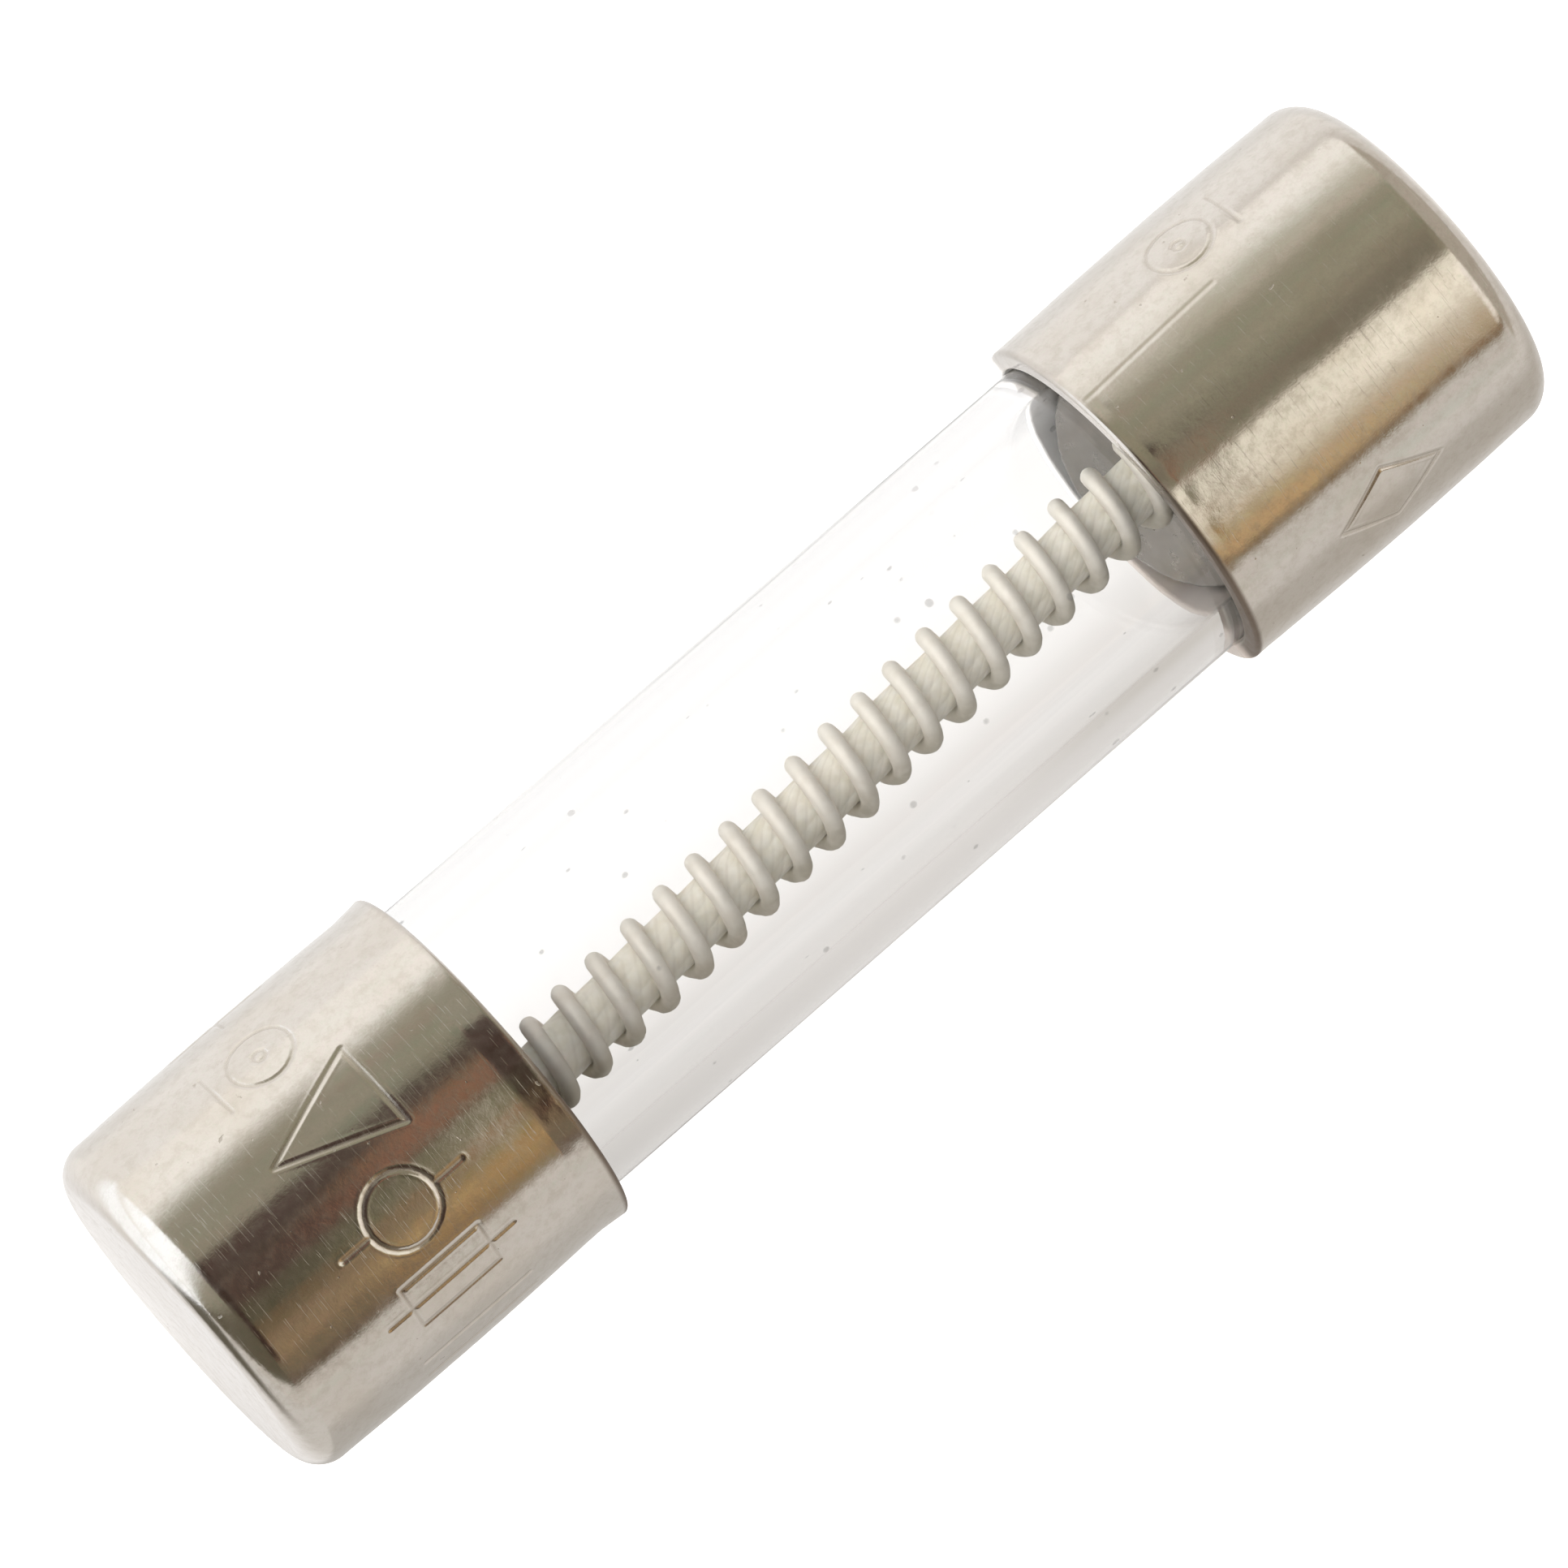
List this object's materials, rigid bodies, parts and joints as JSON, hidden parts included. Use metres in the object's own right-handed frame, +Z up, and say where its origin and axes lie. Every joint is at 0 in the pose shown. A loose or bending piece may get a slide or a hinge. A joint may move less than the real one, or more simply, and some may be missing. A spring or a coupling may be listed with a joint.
{
  "type": "cartridge fuse",
  "caption": "Small glass cartridge fuse: two plated metal end cups on a clear tube, with a wire wound round a pale core inside and solder under each cup.",
  "frame": {"origin": "middle of the fuse, on its axis, half-way between the two end faces", "axes": "+X along the fuse's axis towards the cap whose solder shows in the glass, +Z up, +Y across"},
  "size_m": [0.0206, 0.005, 0.005],
  "materials": {
    "glass": "polished",
    "nickel": "satin",
    "core": "matte",
    "wire": "satin",
    "solder": "satin"
  },
  "bodies": {
    "root": {"glass_tube": "glass", "left_end_cap": "nickel", "right_end_cap": "nickel", "element_core": "core", "element_wire": "wire", "left_solder": "solder", "right_solder": "solder"}
  },
  "joints": []
}
